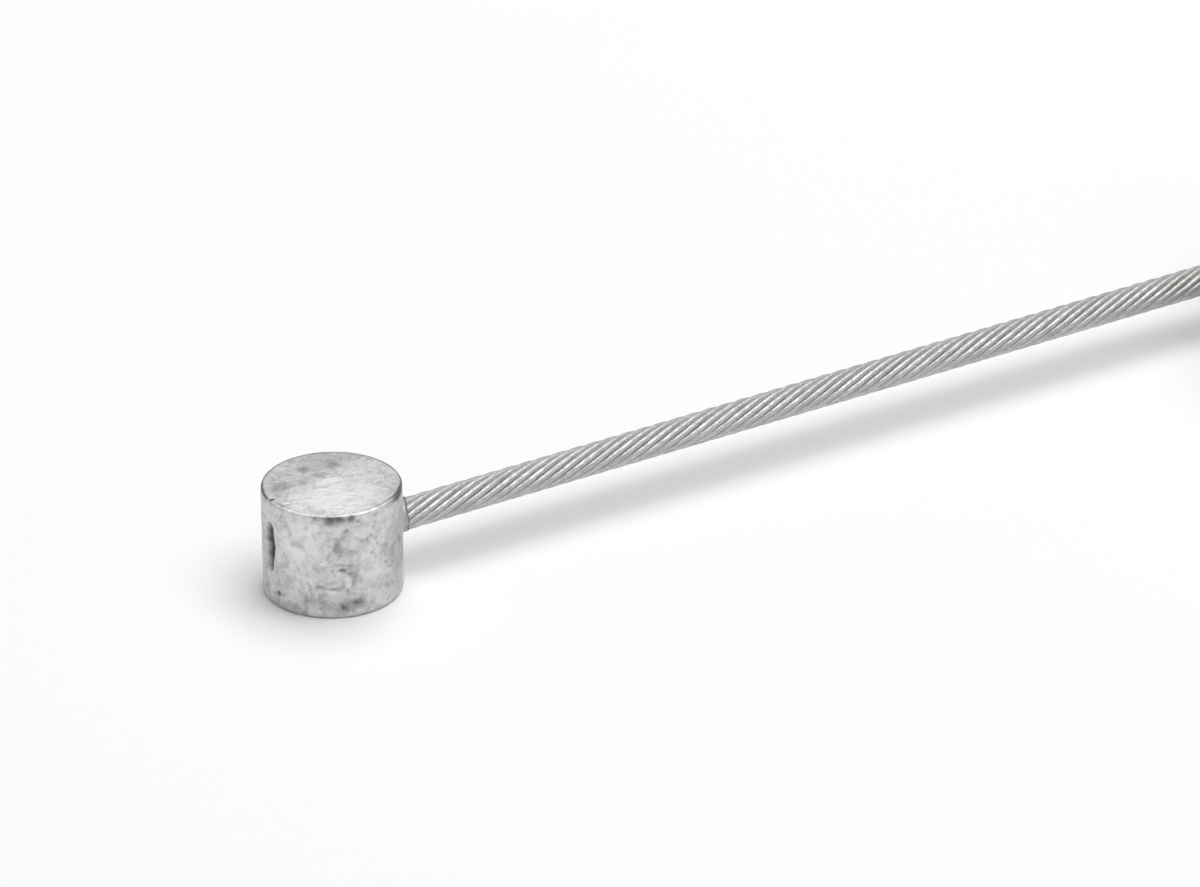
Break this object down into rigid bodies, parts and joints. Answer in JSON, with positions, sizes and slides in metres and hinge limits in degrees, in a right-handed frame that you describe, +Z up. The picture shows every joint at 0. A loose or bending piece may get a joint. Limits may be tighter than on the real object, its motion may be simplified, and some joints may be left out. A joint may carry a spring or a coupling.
{
  "type": "bicycle brake cable",
  "caption": "Bicycle brake inner cable: a zinc barrel head die-cast on a laid steel strand, with the spare length wound into a tied coil.",
  "frame": {"origin": "centre of the flat foot of the barrel head, which the cable stands on", "axes": "+Z up the barrel head's axis, +X along the strand as it leaves the head, +Y to the left of the strand"},
  "size_m": [0.0854, 0.03, 0.0132],
  "materials": {
    "cast_zinc": "as-cast zinc, dull light grey, mottled and lightly dented",
    "steel_wire": "drawn galvanised steel wire, satin with a bright line on each wire",
    "nylon": "natural nylon, satin"
  },
  "bodies": {
    "root": {"barrel_head": "cast_zinc", "strand_lead": "steel_wire", "strand_coil": "steel_wire", "strand_tail": "steel_wire", "fused_tip": "steel_wire", "coil_tie_1": "nylon", "coil_tie_2": "nylon"}
  },
  "joints": []
}
